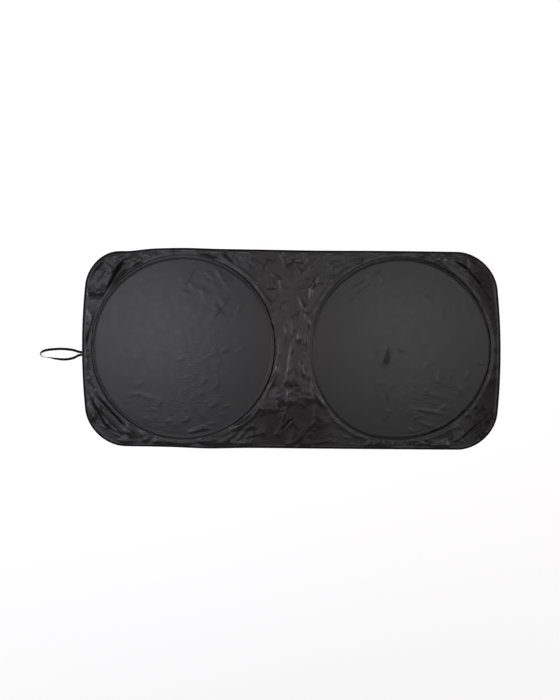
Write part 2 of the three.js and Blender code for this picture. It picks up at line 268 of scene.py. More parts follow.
def grid_faces(down, across, wrap_down=False, wrap_across=False):
    """Quads that join a grid of points, row by row."""
    i = np.arange(down if wrap_down else down - 1)
    j = np.arange(across if wrap_across else across - 1)
    i, j = np.meshgrid(i, j, indexing="ij")
    i, j = i.ravel(), j.ravel()
    below = (i + 1) % down
    beside = (j + 1) % across
    corners = [i * across + j, i * across + beside, below * across + beside, below * across + j]
    return np.stack(corners, axis=1)


# Shader maths


class Value:
    """A node's output. Sums, differences and products of values add Math nodes."""

    def __init__(self, finish, socket):
        self.finish = finish
        self.socket = socket

    def __add__(self, other):
        return self.finish.maths("ADD", self, other)

    def __radd__(self, other):
        return self.finish.maths("ADD", other, self)

    def __sub__(self, other):
        return self.finish.maths("SUBTRACT", self, other)

    def __rsub__(self, other):
        return self.finish.maths("SUBTRACT", other, self)

    def __mul__(self, other):
        return self.finish.maths("MULTIPLY", self, other)

    def __rmul__(self, other):
        return self.finish.maths("MULTIPLY", other, self)

    def __abs__(self):
        return self.finish.maths("ABSOLUTE", self)


class Finish:
    """One material and its nodes."""

    def __init__(self, name):
        self.material = bpy.data.materials.new(name)
        self.material.use_nodes = True
        self.tree = self.material.node_tree
        self.tree.nodes.clear()

    def node(self, kind, settings=None, inputs=None, output=0):
        """Adds a node, with its settings first and then its sockets' values or links."""
        made = self.tree.nodes.new(kind)
        for name, value in (settings or {}).items():
            setattr(made, name, value)
        for socket, value in (inputs or {}).items():
            if isinstance(value, Value):
                self.tree.links.new(value.socket, made.inputs[socket])
            else:
                made.inputs[socket].default_value = value
        return Value(self, made.outputs[output] if made.outputs else None)

    def maths(self, operation, *terms):
        return self.node("ShaderNodeMath", {"operation": operation}, dict(enumerate(terms)))

    def place(self, stretch=None):
        """The point on the piece, in metres, with its axes stretched if asked."""
        point = self.node("ShaderNodeTexCoord", output=3)
        if stretch is None:
            return point
        return self.node("ShaderNodeVectorMath", {"operation": "MULTIPLY"}, {0: point, 1: stretch})

    def part_of(self, vector, axis):
        """One of the three numbers of a vector."""
        return self.node("ShaderNodeSeparateXYZ", inputs={0: vector}, output=axis)

    def cloudy(self, lumps, detail=3, rough=0.5, stretch=None):
        """Soft noise from 0 to 1, with so many lumps in a metre."""
        inputs = {
            "Vector": self.place(stretch),
            "Scale": lumps,
            "Detail": detail,
            "Roughness": rough,
        }
        return self.node("ShaderNodeTexNoise", inputs=inputs)

    def creased(self, lumps, detail=2, stretch=None):
        """Noise with sharp lines in it, as crumpled cloth has."""
        return abs(2 * self.cloudy(lumps, detail, 0.45, stretch) - 1)

    def mask(self, name):
        """A value that the mesh carries at its points."""
        return self.node("ShaderNodeAttribute", {"attribute_name": name}, output=2)

    def between(self, share, first, second):
        """A colour between two colours, each of them three numbers or a value."""
        inputs = {0: share}
        for socket, colour in ((6, first), (7, second)):
            inputs[socket] = colour if isinstance(colour, Value) else (*colour, 1)
        return self.node("ShaderNodeMix", {"data_type": "RGBA"}, inputs, output=2)

    def bump(self, height, depth, over=None):
        """A normal from a height of 0 to 1 and its depth in metres."""
        inputs = {"Height": height, "Distance": depth}
        if over:
            inputs["Normal"] = over
        return self.node("ShaderNodeBump", inputs=inputs)

    def surface(self, painted_shade=None, **sockets):
        """The shader and the output. Names of sockets are written with _ for a space. Where
        painted_shade is 1, as deep in a fold, the surface is matt and nearly black: painted shade."""
        named = {name.replace("_", " "): value for name, value in sockets.items()}
        shader = self.node("ShaderNodeBsdfPrincipled", inputs=named)
        if painted_shade:
            # A matt near-black shader, mixed in as painted shade.
            dark = self.node("ShaderNodeBsdfDiffuse", inputs={"Color": (0.004, 0.004, 0.004, 1)})
            shader = self.node("ShaderNodeMixShader", inputs={0: painted_shade, 1: shader, 2: dark})
        return self.done(shader)

    def done(self, shader):
        """The material, with the given shader as its surface."""
        self.node("ShaderNodeOutputMaterial", inputs={"Surface": shader})
        return self.material


# How much light the satin cloth and the matte tapes throw back, and how far apart the cloth's
# threads are.
satin_gloss = 0.38
matte_gloss = 0.12
thread_pitch = 0.9 * mm


def woven(finish, pitch):
    """A plain weave over the panel, from 0 to 1, with threads so far apart."""
    point = finish.place()
    across = finish.maths("SINE", finish.part_of(point, 0) * (2 * math.pi / pitch))
    along = finish.maths("SINE", finish.part_of(point, 1) * (2 * math.pi / pitch))
    return 0.5 + 0.5 * across * along


def tape_ribs(finish, pitch):
    """Ribs across a tape or a strip, from 0 to 1, by the length along it."""
    return 0.5 + 0.5 * finish.maths("SINE", finish.mask("along") * (2 * math.pi / pitch))


def satin_cloth():
    """The dark face: coated taffeta with a soft sheen, crinkled where the cloth is slack."""
    finish = Finish("satin_cloth")
    slack_part = finish.mask("slack")
    dull_and_shaded_part = finish.mask("dull_and_shaded")
    mottle = finish.cloudy(7, 4, 0.6)
    even = finish.between(mottle, (0.0095, 0.0095, 0.0101), (0.0138, 0.0136, 0.0142))
    brown = finish.between(mottle, (0.0120, 0.0085, 0.0090), (0.0155, 0.0115, 0.0120))
    colour = finish.between(finish.mask("brown"), even, brown)
    ripples = finish.mask("rippled") * finish.creased(46, 2, (0.7, 1.6, 1)) * finish.cloudy(14, 1)
    normal = finish.bump(woven(finish, thread_pitch), 0.004 * mm)
    normal = finish.bump(finish.cloudy(22, 3), 0.38 * mm, normal)
    normal = finish.bump(ripples, 0.65 * mm, normal)
    crinkle = finish.creased(55, 3, (1, 0.7, 1)) + 0.4 * finish.creased(130)
    normal = finish.bump(slack_part * crinkle, 0.6 * mm, normal)
    roughness = 0.30 + 0.07 * finish.cloudy(40, 2) + 0.13 * dull_and_shaded_part
    # Painted shade: deep fold valleys, the zone turned from the light and the small dark mark are mixed
    # towards matt near-black.
    return finish.surface(
        painted_shade=finish.mask("painted_shade"),
        Base_Color=colour,
        Roughness=roughness,
        Specular_IOR_Level=satin_gloss,
        Normal=normal,
    )


def silver_cloth():
    """The underside: the same taffeta with its reflecting coat."""
    finish = Finish("silver_cloth")
    colour = finish.between(finish.cloudy(9, 4), (0.50, 0.51, 0.53), (0.60, 0.61, 0.63))
    normal = finish.bump(woven(finish, thread_pitch), 0.01 * mm)
    normal = finish.bump(finish.creased(30), 0.5 * mm, normal)
    roughness = 0.36 + 0.12 * finish.cloudy(60, 2)
    return finish.surface(Base_Color=colour, Metallic=0.8, Roughness=roughness, Normal=normal)


def casing_tape():
    """The tape over the strips: the same dark cloth, a little duller, gathered by its seams."""
    finish = Finish("casing_tape")
    even = finish.between(finish.cloudy(30, 4), (0.0100, 0.0100, 0.0106), (0.0160, 0.0160, 0.0166))
    # Paler on the dome where the painted light mask is high: painted light.
    colour = finish.between(finish.mask("painted_light"), even, (0.042, 0.041, 0.043))
    normal = finish.bump(woven(finish, 1.1 * mm), 0.01 * mm)
    normal = finish.bump(finish.creased(90, 2), 0.25 * mm, normal)
    roughness = 0.34 + 0.10 * finish.cloudy(90, 2)
    # Painted shade: the dark line beside the strip and the band over the hoop's upper part.
    return finish.surface(
        painted_shade=finish.mask("painted_shade"),
        Base_Color=colour,
        Roughness=roughness,
        Specular_IOR_Level=satin_gloss,
        Normal=normal,
    )


def binding_tape():
    """The edge tape: black, matte and ribbed across."""
    finish = Finish("binding_tape")
    colour = finish.between(finish.cloudy(60, 4), (0.0028, 0.0028, 0.0030), (0.0055, 0.0055, 0.0058))
    normal = finish.bump(tape_ribs(finish, 1.0 * mm), 0.05 * mm)
    normal = finish.bump(finish.cloudy(150, 3), 0.25 * mm, normal)
    roughness = 0.70 + 0.14 * finish.cloudy(120, 2)
    return finish.surface(
        Base_Color=colour, Roughness=roughness, Specular_IOR_Level=matte_gloss, Normal=normal
    )


def sewing_thread():
    """The thread of the seams."""
    finish = Finish("sewing_thread")
    colour = finish.between(finish.cloudy(400, 2), (0.012, 0.012, 0.013), (0.024, 0.024, 0.025))
    normal = finish.bump(finish.cloudy(2500, 2), 0.05 * mm)
    return finish.surface(Base_Color=colour, Roughness=0.5, Normal=normal)


def woven_elastic():
    """The loop: black elastic, ribbed across and a little hairy."""
    finish = Finish("woven_elastic")
    colour = finish.between(finish.cloudy(300, 3), (0.0025, 0.0025, 0.0027), (0.006, 0.006, 0.0063))
    normal = finish.bump(tape_ribs(finish, 1.3 * mm), 0.12 * mm)
    normal = finish.bump(finish.cloudy(900, 3), 0.06 * mm, normal)
    return finish.surface(
        Base_Color=colour, Roughness=0.75, Specular_IOR_Level=matte_gloss, Normal=normal
    )


def rolled_steel():
    """The strips: bare spring steel, rolled lengthwise, with faint blue-grey tempering."""
    finish = Finish("rolled_steel")
    colour = finish.between(finish.cloudy(14, 4), (0.34, 0.35, 0.37), (0.46, 0.47, 0.49))
    normal = finish.bump(finish.cloudy(900, 4, 0.7, (0.2, 0.2, 3)), 0.03 * mm)
    roughness = 0.28 + 0.14 * finish.cloudy(200, 3)
    return finish.surface(Base_Color=colour, Metallic=1.0, Roughness=roughness, Normal=normal)


def crimped_steel():
    """The sleeves: dull plated tube with marks of the crimping tool."""
    finish = Finish("crimped_steel")
    colour = finish.between(finish.cloudy(300, 4), (0.24, 0.25, 0.26), (0.36, 0.37, 0.38))
    normal = finish.bump(finish.creased(260, 2), 0.15 * mm)
    roughness = 0.42 + 0.2 * finish.cloudy(500, 3)
    return finish.surface(Base_Color=colour, Metallic=1.0, Roughness=roughness, Normal=normal)


# Camera


def place_camera():
    """Looks straight down, framed as the photograph is."""
    distance = 3.4
    data = bpy.data.cameras.new("camera")
    data.sensor_fit = "VERTICAL"
    data.sensor_height = 24
    data.lens = data.sensor_height * distance / (photo_height * pixel_size)
    data.clip_end = 80
    camera = link(bpy.data.objects.new("camera", data))
    camera.location = (
        (photo_width / 2 - shade_middle_x) * pixel_size,
        (shade_middle_y - photo_height / 2) * pixel_size,
        distance,
    )
    bpy.context.scene.camera = camera


place_camera()


# Elastic loop, with the same route as its solid, in millimetres from its upper exit

upper_exit = -10.7 * mm
exit_spacing = 9.7 * mm
exit_height = 0.95 * mm
loop_route = [
    (-5, 0, 0.95),
    (-15, 2.4, 0.8),
    (-31, 7.2, 0.8),
    (-53, 10.2, 0.8),
    (-76, 11.1, 0.8),
    (-96, 10.2, 1),
    (-113, 8.6, 1.5),
    (-126, 6.2, 2.3),
    (-136, 2.4, 3.1),
    (-142, -2.6, 3.6),
    (-143.5, -7.4, 3.8),
    (-141.5, -12, 3.9),
    (-136, -15.2, 3.9),
    (-125, -17.4, 3.9),
    (-111, -19.2, 3.7),
    (-95, -22.2, 2.8),
    (-74, -24.8, 1.6),
    (-54, -25, 0.9),
    (-36, -22.2, 0.8),
    (-24, -17.8, 0.8),
    (-14, -12.4, 0.8),
    (-5, -9.7, 0.95),
]

# How far the band is turned from lying flat, in degrees, at shares of its length.
twist_places = [0, 0.4, 0.45, 0.49, 0.53, 0.58, 0.64, 0.7, 0.78, 0.88, 1]
twist_turns = [0, 4, 24, 54, 78, 84, 60, 32, 12, 4, 0]

# The elastic is drawn a little wider than its solid, as it looks in the photograph.
elastic_width = 8.8 * mm


def smooth_route(points, each=10):
    """Points close together along a smooth curve through the given points."""
    points = [Vector(point) for point in points]
    points = [points[0] * 2 - points[1], *points, points[-1] * 2 - points[-2]]
    made = []
    for a, b, c, d in zip(points, points[1:], points[2:], points[3:]):
        for step in range(each):
            t = step / each
            square = (2 * a - 5 * b + 4 * c - d) * t**2
            cube = (3 * b - a - 3 * c + d) * t**3
            made.append(b + ((c - a) * t + square + cube) / 2)
    made.append(points[-2])
    return np.array([tuple(point) for point in made])


def loop_section():
    """A flat band with ribs along it and thin edges."""
    ribs = 5
    per_side = 4 * ribs
    rib_depth = 0.14 * mm
    thin_edge = 0.04
    section = []
    for side in (1, -1):
        for step in range(per_side):
            place = side * (1 - 2 * step / per_side)
            edge = math.sqrt(max(thin_edge, 1 - abs(place) ** 6))
            rib = rib_depth * abs(math.sin(math.pi * ribs * (place + 1) / 2))
            height = loop_thickness / 2 - rib_depth + rib
            section.append((place * elastic_width / 2, side * height * edge))
    return np.array(section)


def make_loop():
    """A flat woven elastic that turns on its edge round the bend."""
    level = upper_exit - skew
    end_x = -half_length * (1 - end_bow / half_length * (level / half_width) ** 2) - gap
    route = [(0, 0, exit_height)]
    route += [(x * mm, y * mm, z * mm) for x, y, z in loop_route]
    route.append((0, -exit_spacing, exit_height))
    path = smooth_route([(end_x + x, upper_exit + y, z) for x, y, z in route])
    along = np.concatenate([[0], np.cumsum(np.linalg.norm(np.diff(path, axis=0), axis=1))])
    forward = np.gradient(path, axis=0)
    forward /= np.linalg.norm(forward, axis=1)[:, None]
    across = np.stack([-forward[:, 1], forward[:, 0], np.zeros(len(path))], axis=1)
    across /= np.linalg.norm(across, axis=1)[:, None]
    up = np.cross(forward, across)
    turn = np.interp(along / along[-1], twist_places, twist_turns) * degree
    wide = across * np.cos(turn)[:, None] + up * np.sin(turn)[:, None]
    thick = up * np.cos(turn)[:, None] - across * np.sin(turn)[:, None]
    section = loop_section()
    points = path[:, None] + wide[:, None] * section[None, :, :1]
    points += thick[:, None] * section[None, :, 1:]
    points[:, :, 2] = np.maximum(points[:, :, 2], floor_clearance)
    count = len(section)
    faces = grid_faces(len(path), count, wrap_across=True).tolist()
    faces.append(list(range(count)))
    faces.append(list(range((len(path) - 1) * count, len(path) * count))[::-1])
    loop = make_mesh("elastic_loop", points, faces)
    add_value(loop, "along", np.repeat(along, count))
    loop.data.materials.append(woven_elastic())
    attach(loop, "root")
    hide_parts("holding_loop")


make_loop()


# Cloth panel: where its points lie in plan, and which of them are sewn down


def spaced(end, count, zones):
    """Places from -end to end, closer together in the given zones."""
    closer = 1.9
    trials = 2001
    fine = np.linspace(-end, end, trials)
    middle = (fine[1:] + fine[:-1]) / 2
    weight = np.ones(middle.size)
    for low, high in zones:
        weight[(middle > low) & (middle < high)] = closer
    reach = np.concatenate([[0], np.cumsum(weight)])
    return np.interp(np.linspace(0, reach[-1], count + 1), reach, fine)


def cloth_plan():
    """Points over the whole panel, in rows, with its round corners and its laid outline."""
    inset = tape_thickness + touch
    end = half_length - inset
    side = half_width - inset
    radius = corner_radius - inset
    mark = [300 * mm, 362 * mm]
    mark_height = [-72 * mm, 16 * mm]
    across = spaced(end, columns, [(-end, -600 * mm), (-90 * mm, 90 * mm), mark, (600 * mm, end)])
    up = spaced(side, rows, [(-side, -190 * mm), mark_height, (190 * mm, side)])
    u, v = np.meshgrid(across, up)
    over_x = np.abs(u) - (end - radius)
    over_y = np.abs(v) - (side - radius)
    in_corner = (over_x > 0) & (over_y > 0)
    reach = np.where(in_corner, np.hypot(over_x, over_y), 1)
    squeeze = np.where(in_corner, np.maximum(over_x, over_y) / reach, 1)
    u = np.where(in_corner, np.sign(u) * (end - radius + over_x * squeeze), u)
    v = np.where(in_corner, np.sign(v) * (side - radius + over_y * squeeze), v)
    return lay(u, v)


plan_x, plan_y = cloth_plan()
hoop_distance = np.minimum(*[hoop.outside(plan_x, plan_y) for hoop in hoops])
from_casing = np.maximum(hoop_distance - casing_half, 0)
from_binding = np.maximum(inside_edge(plan_x, plan_y) - binding_width, 0)
rim_height = edge_height * (from_casing / np.maximum(from_casing + from_binding, mm)) ** 2
casing_fade = 12 * mm
binding_fade = 10 * mm
disc_fade = 10 * mm
slack = smooth(from_casing / casing_fade) * smooth(from_binding / binding_fade)
taut = smooth(-(hoop_distance + casing_half) / disc_fade)


def noise_over(size, seed):
    """Smooth noise over the panel from about -1 to 1, with lumps of the given size."""
    points = zip(plan_x.ravel() / size, plan_y.ravel() / size)
    lumps = [noise.fractal((x, y, seed), 1, 2, 1) for x, y in points]
    return np.array(lumps).reshape(plan_x.shape)


def facets(spacing, stretch, seed):
    """Crumpled cloth as flat facets between random points, as a height from about -1 to 1."""
    numbers = random.Random(seed)
    shift = 0.45
    merged = 1e-7
    rim = 1e-6
    step_y = spacing * stretch
    across = int(half_length / spacing) + 2
    up = int(half_width / step_y) + 2
    spots = [
        ((i + numbers.uniform(-shift, shift)) * spacing, (j + numbers.uniform(-shift, shift)) * step_y)
        for i in range(-across, across + 1)
        for j in range(-up, up + 1)
    ]
    found = geometry.delaunay_2d_cdt([Vector(spot) for spot in spots], [], [], 0, merged)
    heights = np.array([numbers.uniform(-1, 1) for _ in found[0]])
    height = np.zeros(plan_x.size)
    x, y = plan_x.ravel(), plan_y.ravel()
    for corners in found[2]:
        (ax, ay), (bx, by), (cx, cy) = (found[0][corner] for corner in corners)
        inside_x = (x >= min(ax, bx, cx)) & (x <= max(ax, bx, cx))
        here = np.nonzero(inside_x & (y >= min(ay, by, cy)) & (y <= max(ay, by, cy)))[0]
        area = (bx - ax) * (cy - ay) - (cx - ax) * (by - ay)
        share_b = ((x[here] - ax) * (cy - ay) - (cx - ax) * (y[here] - ay)) / area
        share_c = ((bx - ax) * (y[here] - ay) - (x[here] - ax) * (by - ay)) / area
        share_a = 1 - share_b - share_c
        inside = np.minimum(np.minimum(share_a, share_b), share_c) >= -rim
        shares = np.stack([share_a, share_b, share_c])[:, inside]
        height[here[inside]] = heights[list(corners)] @ shares
    return height.reshape(plan_x.shape)


# Folds and creases. Each has a route in millimetres from the middle of the panel, how high it
# rises, which is negative in a valley, and how wide its flanks are to the left and to the right
# of someone who walks along it.

top_left_folds = [
    ([(-560, 308), (-606, 252), (-636, 190), (-658, 150)], 3.4, 16, 12),
    ([(-574, 318), (-610, 264), (-632, 215), (-656, 150)], -4.6, 12, 15),
    ([(-646, 306), (-682, 272), (-706, 232)], -2.4, 14, 12),
    ([(-694, 262), (-672, 296), (-640, 312)], 2.6, 12, 26),
    ([(-706, 200), (-648, 196)], 2.8, 12, 11),
    ([(-706, 180), (-646, 178)], -2.6, 8, 9),
    ([(-672, 100), (-696, 20)], 2.6, 8, 10),
    ([(-689, 92), (-714, 3)], -2.6, 9, 8),
]
bottom_left_folds = [
    ([(-686, -150), (-622, -218), (-566, -277)], -3.6, 9, 9),
    ([(-703, -156), (-667, -222), (-646, -260), (-606, -293)], -3.2, 8, 8),
    ([(-677, -184), (-629, -243), (-587, -284)], 3.2, 10, 9),
    ([(-694, -208), (-681, -248)], 1.8, 7, 7),
    ([(-570, -291), (-549, -319)], -2.0, 7, 7),
    ([(-660, -120), (-600, -205), (-520, -278)], 2.2, 8, 9),
]
middle_folds = [
    ([(-119, 215), (-93, 170), (-67, 118)], 3.8, 12, 8),
    ([(-50, -78), (-88, -149), (-119, -198)], 3.8, 12, 9),
    ([(-106, -196), (-132, -234), (-186, -276)], 4.4, 9, 22),
    ([(12, 34), (-5, -24), (-12, -104)], 2.6, 9, 9),
    ([(-8, -124), (-12, -198), (-34, -254)], 2.6, 8, 8),
    ([(30, -40), (44, -99)], 2.6, 8, 6),
    ([(26, 64), (26, 19)], 2.2, 7, 6),
    ([(-19, 84), (-19, 40)], 2.2, 7, 6),
    ([(-40, 18), (-41, -28)], 2.0, 7, 6),
    ([(28, 184), (47, 125)], 2.8, 10, 7),
    ([(47, 130), (62, 76)], 2.6, 8, 7),
    ([(-32, -124), (32, -126)], -3.0, 7, 8),
    ([(4, -139), (42, -139)], -2.4, 7, 7),
    ([(-88, 208), (-48, 208)], -2.2, 8, 8),
    ([(68, -100), (90, -150), (115, -200)], 4.2, 9, 18),
    ([(-112, -206), (-76, -212), (-40, -212)], 3.8, 30, 12),
    ([(14, -230), (-14, -258), (-42, -286)], -2.4, 10, 9),
    ([(84, -250), (47, -284), (9, -331)], 3.8, 14, 12),
    ([(-92, -170), (0, -150), (92, -182)], 3.0, 34, 100),
    ([(76, -326), (129, -319)], 2.2, 8, 8),
    ([(-156, -303), (-93, -288)], 2.4, 8, 8),
    ([(-228, -322), (-196, -292)], 2.2, 8, 7),
    ([(-237, 336), (-199, 298)], -2.8, 8, 8),
    ([(-26, 288), (4, 304), (52, 298)], 1.9, 10, 7),
    ([(-12, 258), (12, 286), (42, 260)], 1.8, 8, 7),
    ([(-70, 262), (-40, 240), (-30, 200)], 1.8, 10, 10),
    ([(96, 262), (70, 210), (66, 160)], 2.6, 10, 9),
]
right_folds = [
    ([(538, 324), (590, 296), (644, 244), (694, 172)], 3.4, 14, 12),
    ([(560, 310), (612, 275), (668, 208)], -3.2, 9, 9),
    ([(708, 150), (714, 10)], 2.2, 8, 7),
    ([(704, 20), (710, -120)], 2.0, 7, 7),
    ([(640, -180), (662, -275)], 3.0, 10, 8),
    ([(668, -190), (686, -265)], 2.6, 8, 7),
    ([(586, -312), (652, -252)], -2.6, 9, 9),
    ([(560, -322), (618, -286)], 2.4, 8, 8),
]
big_folds = top_left_folds + bottom_left_folds + middle_folds + right_folds

disc_creases = [
    ([(-574, -160), (-528, -155), (-470, -178)], 0.7, 10, 9),
    ([(-487, -208), (-462, -212)], 0.5, 6, 6),
    ([(-324, 293), (-366, 216)], -0.7, 8, 9),
    ([(-262, 284), (-222, 216)], 0.9, 9, 8),
    ([(-229, 269), (-204, 230)], -0.8, 7, 7),
    ([(-274, 108), (-240, 150), (-211, 180)], 1.2, 10, 7),
    ([(-264, 166), (-224, 110)], -0.9, 8, 8),
    ([(-250, 178), (-232, 160)], 1.0, 7, 7),
    ([(-352, 236), (-340, 214)], 0.8, 7, 7),
    ([(-330, 232), (-316, 206)], -0.7, 7, 7),
    ([(-355, -290), (-303, -272), (-257, -292)], 2.4, 9, 12),
    ([(208, 203), (264, 240)], 0.7, 8, 8),
    ([(222, 188), (277, 230)], -0.6, 7, 7),
    ([(457, 186), (489, 157)], 0.6, 8, 8),
    ([(490, -106), (569, -133)], 0.6, 10, 9),
    ([(460, -151), (552, -174)], 0.6, 9, 9),
    ([(430, -208), (534, -226)], 0.9, 9, 8),
    ([(444, -252), (531, -289)], 0.8, 8, 7),
    ([(344, 6), (338, -24), (333, -44)], 1.2, 6, 6),
    ([(296, -6), (298, -14)], 1.0, 4, 4),
    ([(362, -162), (362, -180)], 0.7, 4, 4),
    ([(407, -164), (407, -182)], 0.7, 4, 4),
]


def beside_line(x, y, start, end):
    """How far points are along a straight line, off it, and to its left, in millimetres."""
    length = math.dist(start, end)
    dx, dy = (end[0] - start[0]) / length, (end[1] - start[1]) / length
    along = np.clip((x / mm - start[0]) * dx + (y / mm - start[1]) * dy, 0, length)
    off_x = x / mm - start[0] - dx * along
    off_y = y / mm - start[1] - dy * along
    return along, np.hypot(off_x, off_y), dx * off_y - dy * off_x


def add_fold(height, x, y, route, rise, left, right):
    """Adds a fold with a crisp line along its route, that fades out at both ends."""
    best = np.full(x.shape, np.inf)
    side = np.zeros(x.shape)
    fade = np.zeros(x.shape)
    total = sum(math.dist(start, end) for start, end in zip(route, route[1:]))
    run = 0
    for start, end in zip(route, route[1:]):
        along, distance, to_left = beside_line(x, y, start, end)
        nearer = distance < best
        best = np.where(nearer, distance, best)
        side = np.where(nearer, to_left, side)
        fade = np.where(nearer, (run + along) / total, fade)
        run += math.dist(start, end)
    width = np.where(side > 0, left, right)
    flank = np.clip(1 - best / width, 0, 1)
    crispness = 0.75
    line = smooth(flank * crispness) / smooth(crispness)
    end_share = 0.22
    ends = smooth(fade / end_share) * smooth((1 - fade) / end_share)
    height += rise * mm * line * (0.25 + 0.75 * ends)


def along_hoop(x, y):
    """The direction in which the nearer hoop's edge runs past a place, in millimetres."""
    hoop = left_hoop if x < 0 else right_hoop
    return math.atan2(y - hoop.y / mm, x - hoop.x / mm) + math.pi / 2


def crumple(count, where, rise, lengths, widths, flow=0.0):
    """Short creases at random places where the given mask is high. A share of them runs
    along the hoops, as cloth that is pulled round them does."""
    made = []
    while len(made) < count:
        row = random_numbers.randrange(rows + 1)
        column = random_numbers.randrange(columns + 1)
        if random_numbers.random() > where[row, column]:
            continue
        x, y = plan_x[row, column] / mm, plan_y[row, column] / mm
        turn = random_numbers.uniform(0, 2 * math.pi)
        if random_numbers.random() < flow:
            turn = along_hoop(x, y) + random_numbers.gauss(0, 0.3)
        bend = random_numbers.uniform(-0.5, 0.5)
        half = random_numbers.uniform(*lengths) / 2
        route = [
            (x - half * math.cos(turn), y - half * math.sin(turn)),
            (x, y),
            (x + half * math.cos(turn + bend), y + half * math.sin(turn + bend)),
        ]
        high = random_numbers.uniform(*rise) * random_numbers.choice((1, 1, -1))
        made.append((route, high, random_numbers.uniform(*widths), random_numbers.uniform(*widths)))
    return made


def near(x, y, spread):
    """A soft round mask about a place, in millimetres."""
    return np.exp(-((plan_x / mm - x) ** 2 + (plan_y / mm - y) ** 2) / spread**2)


def folded_height(x, y, folds):
    """A list of folds as a height over the panel."""
    height = np.zeros(x.shape)
    for fold in folds:
        add_fold(height, x, y, *fold)
    return height


def painted_valley_shade(x, y, folds, full_depth, darkness):
    """Painted shade in the valleys of a list of folds. It reaches the darkness at the full depth."""
    valleys = [fold for fold in folds if fold[1] < 0]
    return darkness * smooth(-folded_height(x, y, valleys) / full_depth)


# Parts of the slack cloth: the calmer one above, the corners at the right, the narrow strips
# along the edges, and all that lies between the hoops.
upper_middle = rise_from(90 * mm, 60 * mm, plan_y) * (np.abs(plan_x) < 130 * mm)
calm = 1 - 0.4 * upper_middle
right_corners = rise_from(560 * mm, 60 * mm, plan_x)
narrow = 1 - rise_from(34 * mm, 20 * mm, from_casing + from_binding)
between_hoops = 1 - rise_from(90 * mm, 60 * mm, np.abs(plan_x))

slack_creases = crumple(
    170, slack * calm, rise=(0.5, 1.8), lengths=(20, 75), widths=(5, 10), flow=0.75
)
slack_creases += crumple(
    60, slack * right_corners, rise=(1.0, 2.4), lengths=(20, 55), widths=(5, 9), flow=0.7
)
slack_creases += crumple(
    150, slack * narrow * calm, rise=(0.8, 2.1), lengths=(12, 30), widths=(5, 8)
)

# A row of faint pleats low on the left disc.
pleat_spacing = 17
pleats = [
    ([(x, -300 + 3 * (i % 3)), (x + 2, -226 - 14 * (i % 2))], 0.55, 6, 6)
    for i, x in enumerate(range(-506, -400, pleat_spacing))
]

# Where the taut cloth is a little crinkled: the place, how far it spreads, and how strong it is.
crinkled_places = [
    (-300, -60, 90, 1),
    (-240, 140, 70, 1),
    (-330, -200, 80, 1),
    (480, -170, 110, 1),
    (-470, -220, 90, 0.6),
    (240, 200, 80, 0.5),
    (-300, 250, 70, 0.5),
]
everywhere = 0.08
disc_spots = everywhere + sum(share * near(x, y, spread) for x, y, spread, share in crinkled_places)
disc_spots = taut * np.clip(disc_spots, 0, 1)
disc_crinkles = crumple(140, disc_spots, rise=(0.25, 0.7), lengths=(14, 45), widths=(6, 11))


# How much larger the slack cloth is than the space that it lies in.
surplus_across = 0.010
surplus_along = 0.006


def dull_and_shaded_zone():
    """Where the cloth turns from the light, and gets painted shade and a rougher finish: low down between
    the hoops, and at the right end.
    """
    low_down = rise_from(165 * mm, 60 * mm, -plan_y)
    lower_middle = low_down * smooth((150 * mm - np.abs(plan_x - 12 * mm)) / (70 * mm))
    right_end = rise_from(585 * mm, 80 * mm, plan_x)
    return np.maximum(0.75 * lower_middle, right_end)


dull_and_shaded = dull_and_shaded_zone() * slack


def simulate_slack(start_height):
    """Cloth simulation of the slack cloth. It is sewn down at the hoops and the binding, and
    is a little larger than the space that it lies in, so it buckles and settles on the floor."""
    pinned = (from_casing <= 0) | (from_binding <= 0)
    faces = grid_faces(rows + 1, columns + 1)
    free = ~pinned.ravel()
    used_faces = faces[free[faces].any(axis=1)]
    used = np.unique(used_faces)
    renumber = np.full(plan_x.size, -1)
    renumber[used] = np.arange(len(used))
    whole = np.stack([plan_x.ravel(), plan_y.ravel(), start_height.ravel()], axis=1)
    cloth = make_mesh("slack_cloth", whole[used], renumber[used_faces].tolist())
    cloth.shape_key_add(name="laid")
    loose = cloth.shape_key_add(name="loose")
    looser = whole[used]
    looser[:, 0] *= 1 + surplus_across
    looser[:, 1] *= 1 + surplus_along * (1 - between_hoops.ravel()[used])
    loose.data.foreach_set("co", looser.ravel())
    pins = cloth.vertex_groups.new(name="sewn")
    pins.add([int(i) for i in renumber[used][~free[used]]], 1, "REPLACE")

    drop = 1.0 * mm
    reach = half_length * 1.3
    ground = make_mesh("slack_ground", level_square(reach, -2 * drop), [(0, 1, 2, 3)])
    ground.modifiers.new("collision", "COLLISION")
    ground.collision.thickness_outer = drop
    ground.collision.cloth_friction = 8

    modifier = cloth.modifiers.new("cloth", "CLOTH")
    settings = modifier.settings
    settings.quality = 6
    settings.mass = 0.004
    settings.tension_stiffness = settings.compression_stiffness = 8
    settings.shear_stiffness = 3
    settings.bending_stiffness = 0.05
    settings.tension_damping = settings.compression_damping = settings.shear_damping = 3
    settings.bending_damping = 0.2
    settings.air_damping = 2
    settings.effector_weights.gravity = 0.1
    settings.vertex_group_mass = "sewn"
    settings.rest_shape_key = loose
    modifier.collision_settings.distance_min = drop
    modifier.collision_settings.collision_quality = 2
    frames = 30
    modifier.point_cache.frame_start = 1
    modifier.point_cache.frame_end = frames
    scene = bpy.context.scene
    for step in range(1, frames + 1):
        scene.frame_set(step)
    made = cloth.evaluated_get(bpy.context.evaluated_depsgraph_get()).data
    result = np.empty(len(made.vertices) * 3)
    made.vertices.foreach_get("co", result)
    scene.frame_set(1)
    bpy.data.objects.remove(cloth)
    bpy.data.objects.remove(ground)
    whole[used] = result.reshape(-1, 3)
    return whole.reshape(rows + 1, columns + 1, 3)


